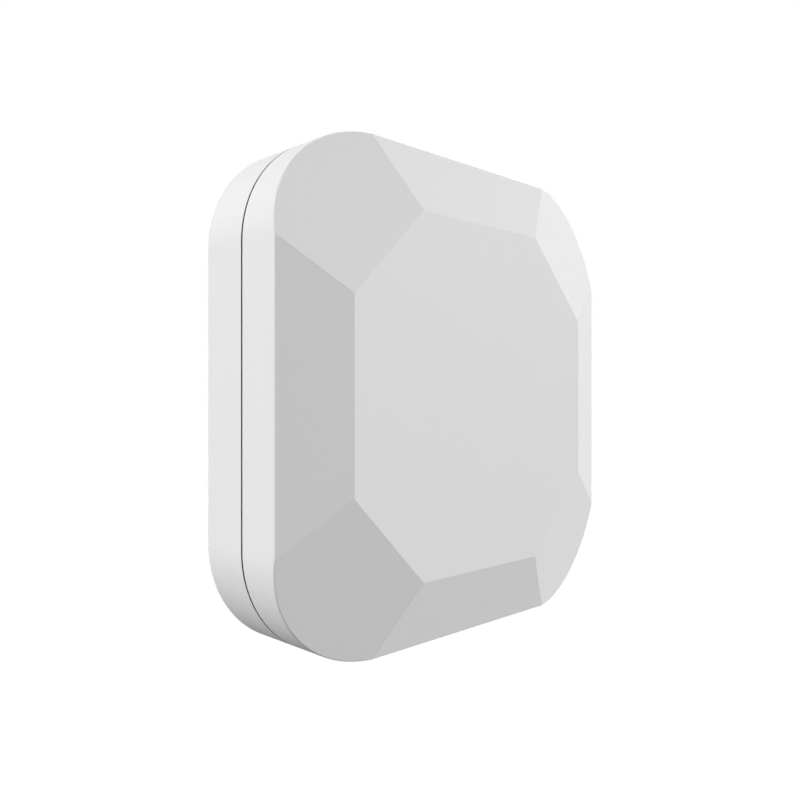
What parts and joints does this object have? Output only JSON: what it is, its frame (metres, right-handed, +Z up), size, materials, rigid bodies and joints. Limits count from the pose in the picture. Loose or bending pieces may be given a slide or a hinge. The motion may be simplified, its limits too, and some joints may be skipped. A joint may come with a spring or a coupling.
{
  "type": "wireless air sensor",
  "caption": "Square wall sensor housing with round corners: a faceted front cover that carries the board, cells and air sensing parts and unclips from a flat rear base.",
  "frame": {"origin": "centre of the flat back face, which lies on the wall", "axes": "+Z up, +Y into the wall, so the faceted front looks along -Y; +X to the right for someone facing the front"},
  "size_m": [0.086, 0.0227, 0.086],
  "materials": {
    "cover_plastic": "fine satin texture, neutral white",
    "base_plastic": "fine satin texture, neutral white",
    "board_laminate": "green solder mask over glass laminate",
    "screw_steel": "bright zinc",
    "holder_plastic": "black moulded nylon",
    "cell_sleeve": "bare printed sleeve over a drawn can",
    "contact_metal": "nickel plate",
    "foam_grey": "closed cell foam",
    "sensor_metal": "drawn can, dull",
    "sensor_membrane": "white porous membrane",
    "shield_metal": "tinned sheet",
    "chip_black": "moulded package",
    "switch_black": "moulded",
    "button_plastic": "moulded",
    "capacitor_metal": "plain can",
    "crystal_metal": "plated lid",
    "ferrite": "sintered ferrite",
    "light_lens": "clear resin over the die",
    "guide_clear": "clear moulded",
    "chip_ceramic": "fired ceramic",
    "chip_resistor": "black glaze on white ceramic"
  },
  "bodies": {
    "base": {"rear_base": "base_plastic", "snap_arms": "base_plastic"},
    "front_unit": {"front_cover": "cover_plastic", "main_board": "board_laminate", "board_screws": "screw_steel", "cell_holder": "holder_plastic", "cell_upper": "cell_sleeve", "cell_lower": "cell_sleeve", "positive_contacts": "contact_metal", "negative_contacts": "contact_metal", "foam_barrier": "foam_grey", "antenna_strip": "contact_metal", "service_header": "switch_black", "gas_sensor_base": "board_laminate", "gas_sensor_can": "sensor_metal", "gas_sensor_filter": "sensor_membrane", "switch_body": "switch_black", "switch_frame": "contact_metal", "switch_dome": "contact_metal", "capacitor_base": "chip_black", "capacitor_can": "capacitor_metal", "radio_board": "board_laminate", "radio_shield": "shield_metal", "status_light": "light_lens", "light_guide": "guide_clear", "controller_chip": "chip_black", "timing_crystal": "crystal_metal", "power_inductor": "ferrite", "voc_sensor": "sensor_metal", "humidity_sensor": "chip_black", "chip_capacitors": "chip_ceramic", "chip_resistors": "chip_resistor"},
    "button": {"config_button": "button_plastic"}
  },
  "joints": [
    {"name": "cover_release", "type": "slide", "parent": "base", "child": "front_unit", "axis": [0, -1, 0], "range_m": [0, 0.035], "deforming": ["snap_arms"]},
    {"name": "button_press", "type": "slide", "parent": "front_unit", "child": "button", "axis": [0, -1, 0], "range_m": [0, 0.00025], "stiffness_N_per_m": 4000, "springref_m": -0.0001, "deforming": ["switch_dome"]}
  ]
}
